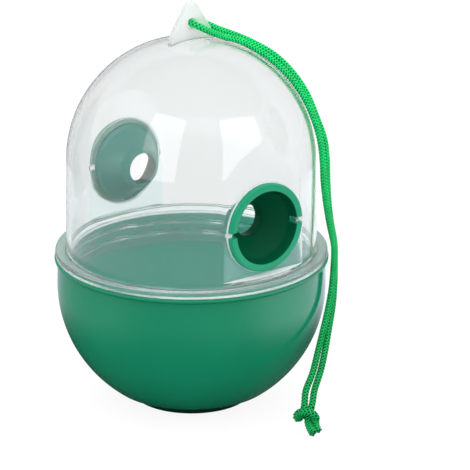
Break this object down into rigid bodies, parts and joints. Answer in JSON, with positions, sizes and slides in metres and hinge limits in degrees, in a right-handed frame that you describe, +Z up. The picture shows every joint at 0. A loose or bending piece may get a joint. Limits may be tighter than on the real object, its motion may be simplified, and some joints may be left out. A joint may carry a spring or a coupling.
{
  "type": "wasp trap",
  "caption": "Hanging wasp trap: round bait bowl, clear screw-on dome with a top lug and knotted cord, and opposed cone-shaped entry funnels snapped into flats on the dome.",
  "frame": {"origin": "middle of the bowl's foot ring, on the plane it stands on", "axes": "+Z up along the trap's own axis; the entry funnels lie along Y, the front funnel's mouth facing -Y; the hanging lug is a plate in the XZ plane; the cord drapes down the +X, -Y side"},
  "size_m": [0.08, 0.0934, 0.12],
  "materials": {
    "bowl_plastic": "glossy moulded polypropylene",
    "clear_plastic": "slightly milky clear polypropylene",
    "funnel_plastic": "satin moulded polypropylene",
    "cord_braid": "braided polypropylene cord"
  },
  "bodies": {
    "bowl": {"bowl": "bowl_plastic"},
    "dome": {"dome": "clear_plastic", "cord_front_strand": "cord_braid", "cord_back_strand": "cord_braid", "cord_knot": "cord_braid"},
    "front_funnel": {"entry_funnel_front": "funnel_plastic"},
    "back_funnel": {"entry_funnel_back": "funnel_plastic"}
  },
  "joints": [
    {"name": "dome_lift", "type": "slide", "parent": "bowl", "child": "dome", "axis": [0, 0, 1], "range_m": [0, 0.03]},
    {"name": "front_funnel_pull", "type": "slide", "parent": "dome", "child": "front_funnel", "axis": [0, -1, 0], "range_m": [0, 0.016]},
    {"name": "back_funnel_pull", "type": "slide", "parent": "dome", "child": "back_funnel", "axis": [0, 1, 0], "range_m": [0, 0.016]}
  ]
}
